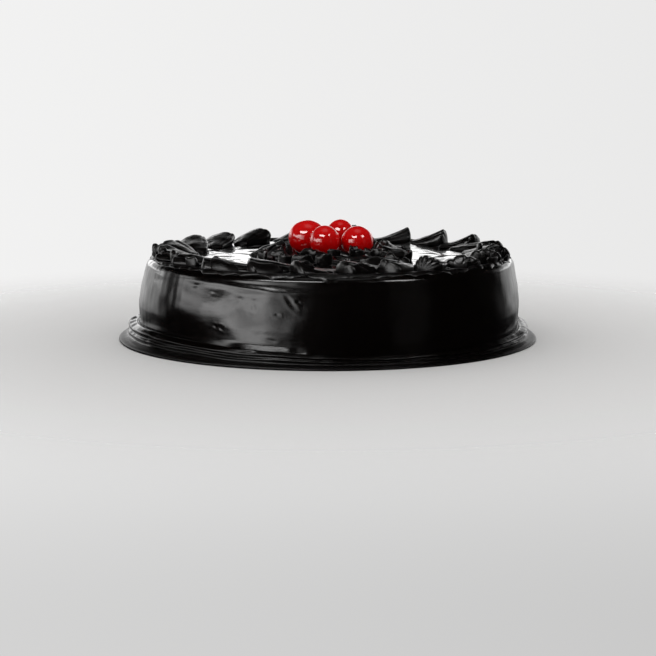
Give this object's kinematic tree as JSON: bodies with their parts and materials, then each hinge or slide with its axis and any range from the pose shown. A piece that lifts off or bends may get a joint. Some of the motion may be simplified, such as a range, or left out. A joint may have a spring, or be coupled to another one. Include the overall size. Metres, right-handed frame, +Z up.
{
  "type": "chocolate truffle cake",
  "caption": "Round chocolate truffle cake: a glossy dark ganache coat with a collar round its foot, piped swirls on the rim and in the middle, and glazed cherries on top.",
  "frame": {"origin": "middle of the cake's flat base", "axes": "+Z up through the cherries, -Y towards the front that the picture shows, +X to its right"},
  "size_m": [0.2196, 0.2126, 0.0615],
  "materials": {
    "dark_ganache": "smooth glossy dark chocolate ganache, spread by hand",
    "piped_truffle_cream": "satin dark truffle cream, piped through a star nozzle",
    "glazed_cherry": "bright red glazed cherry with a wet, clear shine"
  },
  "bodies": {
    "root": {"border_swirl_01": "piped_truffle_cream", "border_swirl_02": "piped_truffle_cream", "border_swirl_03": "piped_truffle_cream", "border_swirl_04": "piped_truffle_cream", "border_swirl_05": "piped_truffle_cream", "border_swirl_06": "piped_truffle_cream", "border_swirl_07": "piped_truffle_cream", "border_swirl_08": "piped_truffle_cream", "border_swirl_09": "piped_truffle_cream", "border_swirl_10": "piped_truffle_cream", "border_swirl_11": "piped_truffle_cream", "border_swirl_12": "piped_truffle_cream", "border_swirl_13": "piped_truffle_cream", "border_swirl_14": "piped_truffle_cream", "border_swirl_15": "piped_truffle_cream", "border_swirl_16": "piped_truffle_cream", "border_swirl_17": "piped_truffle_cream", "border_swirl_18": "piped_truffle_cream", "border_swirl_19": "piped_truffle_cream", "border_swirl_20": "piped_truffle_cream", "border_swirl_21": "piped_truffle_cream", "border_swirl_22": "piped_truffle_cream", "cake_body": "dark_ganache", "centre_swirl_01": "piped_truffle_cream", "centre_swirl_02": "piped_truffle_cream", "centre_swirl_03": "piped_truffle_cream", "centre_swirl_04": "piped_truffle_cream", "centre_swirl_05": "piped_truffle_cream", "centre_swirl_06": "piped_truffle_cream", "centre_swirl_07": "piped_truffle_cream", "centre_swirl_08": "piped_truffle_cream", "centre_swirl_09": "piped_truffle_cream", "centre_swirl_10": "piped_truffle_cream", "centre_swirl_11": "piped_truffle_cream", "cherry_back": "glazed_cherry", "cherry_front": "glazed_cherry", "cherry_left": "glazed_cherry", "cherry_right": "glazed_cherry"}
  },
  "joints": []
}
